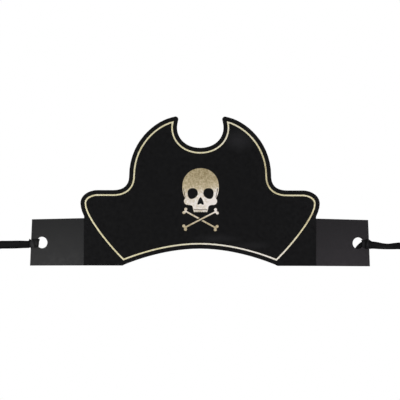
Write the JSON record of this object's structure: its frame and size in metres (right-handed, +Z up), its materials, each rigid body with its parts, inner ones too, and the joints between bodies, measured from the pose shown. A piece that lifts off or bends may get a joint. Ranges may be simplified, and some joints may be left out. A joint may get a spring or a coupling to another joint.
{
  "type": "pirate hat",
  "caption": "Flat die-cut card pirate hat with gold foil skull and crossed bones, creased side flaps and satin ribbon ties for fastening round the head.",
  "frame": {"origin": "on the back face of the card, midway between the flaps, level with the straight ends of the panel's lower edge", "axes": "+Z up as worn, the front with the foil faces -Y, +X to the right seen from the front"},
  "size_m": [0.3903, 0.0263, 0.3404],
  "materials": {
    "black_card": "satin",
    "gold_foil": "satin",
    "satin_ribbon": "satin"
  },
  "bodies": {
    "panel": {"front_panel": "black_card", "foil_border": "gold_foil", "foil_skull": "gold_foil", "foil_bone_over": "gold_foil", "foil_bone_under": "gold_foil"},
    "left_end": {"left_flap": "black_card", "left_tie_loop": "satin_ribbon", "left_tie_knot": "satin_ribbon", "left_tie_tail": "satin_ribbon"},
    "right_end": {"right_flap": "black_card", "right_tie_loop": "satin_ribbon", "right_tie_knot": "satin_ribbon", "right_tie_tail": "satin_ribbon"}
  },
  "joints": [
    {"name": "left_fold", "type": "hinge", "parent": "panel", "child": "left_end", "pos_m": [-0.1026, 0, 0.021], "axis": [0, 0, -1], "range_deg": [-15, 150]},
    {"name": "right_fold", "type": "hinge", "parent": "panel", "child": "right_end", "pos_m": [0.1026, 0, 0.021], "axis": [0, 0, 1], "range_deg": [-15, 150]}
  ]
}
